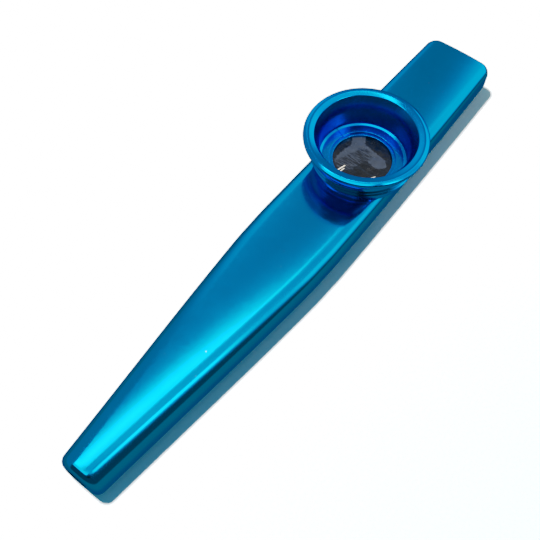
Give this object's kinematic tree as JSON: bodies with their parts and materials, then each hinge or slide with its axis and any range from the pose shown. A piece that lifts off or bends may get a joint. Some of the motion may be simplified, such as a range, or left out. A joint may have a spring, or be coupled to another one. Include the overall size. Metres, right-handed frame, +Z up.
{
  "type": "kazoo",
  "caption": "Metal kazoo: a tapered, pressed tube with a screwed turret that holds a membrane under a flared cap.",
  "frame": {"origin": "middle of the underside's bounding box, on the surface that the kazoo lies on", "axes": "+X towards the wide mouth end, +Y across, +Z up through the cap"},
  "size_m": [0.12, 0.0246, 0.015],
  "materials": {
    "tube": "teal-blue anodised, satin",
    "turned": "blue anodised, turned and glossy",
    "frame": "blue anodised, satin",
    "film": "thin wrinkled film, glossy"
  },
  "bodies": {
    "tube": {"body_tube": "tube", "turret": "turned", "membrane_frame": "frame", "membrane_film": "film"},
    "clamp": {"clamp_ring": "turned"},
    "cap": {"flared_cap": "turned"}
  },
  "joints": [
    {"name": "cap_lift", "type": "slide", "parent": "tube", "child": "clamp", "axis": [0, 0, 1], "range_m": [0, 0.00091]},
    {"name": "cap_turn", "type": "hinge", "parent": "clamp", "child": "cap", "pos_m": [0.0212, 0, 0.0127], "axis": [0, 0, 1], "range_deg": [0, 360]}
  ],
  "couplings": [
    {"joint": "cap_lift", "follows": "cap_turn", "m_per_rad": 0.00014324}
  ]
}
